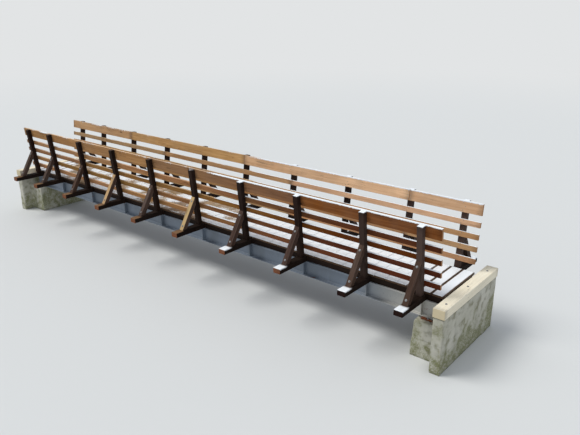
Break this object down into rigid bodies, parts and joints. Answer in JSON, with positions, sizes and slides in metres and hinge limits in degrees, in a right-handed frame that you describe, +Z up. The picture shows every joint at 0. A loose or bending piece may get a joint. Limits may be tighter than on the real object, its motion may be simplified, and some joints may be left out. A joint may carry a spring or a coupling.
{
  "type": "wooden footbridge",
  "caption": "Footbridge with a plank deck, board rails and braced posts on outrigger floor beams, carried by steel girders between concrete abutments.",
  "frame": {"origin": "on the ground under the middle of the bridge", "axes": "+X along the bridge towards its right end, +Y across it away from the front rail, +Z up"},
  "size_m": [11.459, 2.438, 2.055],
  "materials": {
    "rail_timber": "stained orange-brown, weathered",
    "post_timber": "dark brown, damp and weathered",
    "brace_timber": "dark brown with paler upper edges",
    "beam_timber": "dark brown, pale where frost lies",
    "deck_timber": "bleached and frosted, rough sawn",
    "sill_timber": "pale and weathered, rough sawn",
    "girder_steel": "blue-grey, dull with rust stains",
    "bearing_steel": "rusted",
    "concrete": "weathered and mossy",
    "bolt_steel": "galvanised, dull"
  },
  "bodies": {
    "root": {"floor_beam_1": "beam_timber", "floor_beam_2": "beam_timber", "floor_beam_3": "beam_timber", "floor_beam_4": "beam_timber", "floor_beam_5": "beam_timber", "floor_beam_6": "beam_timber", "floor_beam_7": "beam_timber", "floor_beam_8": "beam_timber", "floor_beam_9": "beam_timber", "floor_beam_10": "beam_timber", "front_post_1": "post_timber", "front_post_2": "post_timber", "front_post_3": "post_timber", "front_post_4": "post_timber", "front_post_5": "post_timber", "front_post_6": "post_timber", "front_post_7": "post_timber", "front_post_8": "post_timber", "front_post_9": "post_timber", "front_post_10": "post_timber", "back_post_1": "post_timber", "back_post_2": "post_timber", "back_post_3": "post_timber", "back_post_4": "post_timber", "back_post_5": "post_timber", "back_post_6": "post_timber", "back_post_7": "post_timber", "back_post_8": "post_timber", "back_post_9": "post_timber", "back_post_10": "post_timber", "front_braces": "brace_timber", "front_top_rail": "rail_timber", "front_slats": "rail_timber", "front_girder": "girder_steel", "back_braces": "brace_timber", "back_top_rail": "rail_timber", "back_slats": "rail_timber", "back_girder": "girder_steel", "deck_planks": "deck_timber", "nailers": "beam_timber", "cross_frames": "girder_steel", "bearing_plates": "bearing_steel", "left_abutment": "concrete", "right_abutment": "concrete", "end_sills": "sill_timber"}
  },
  "joints": []
}
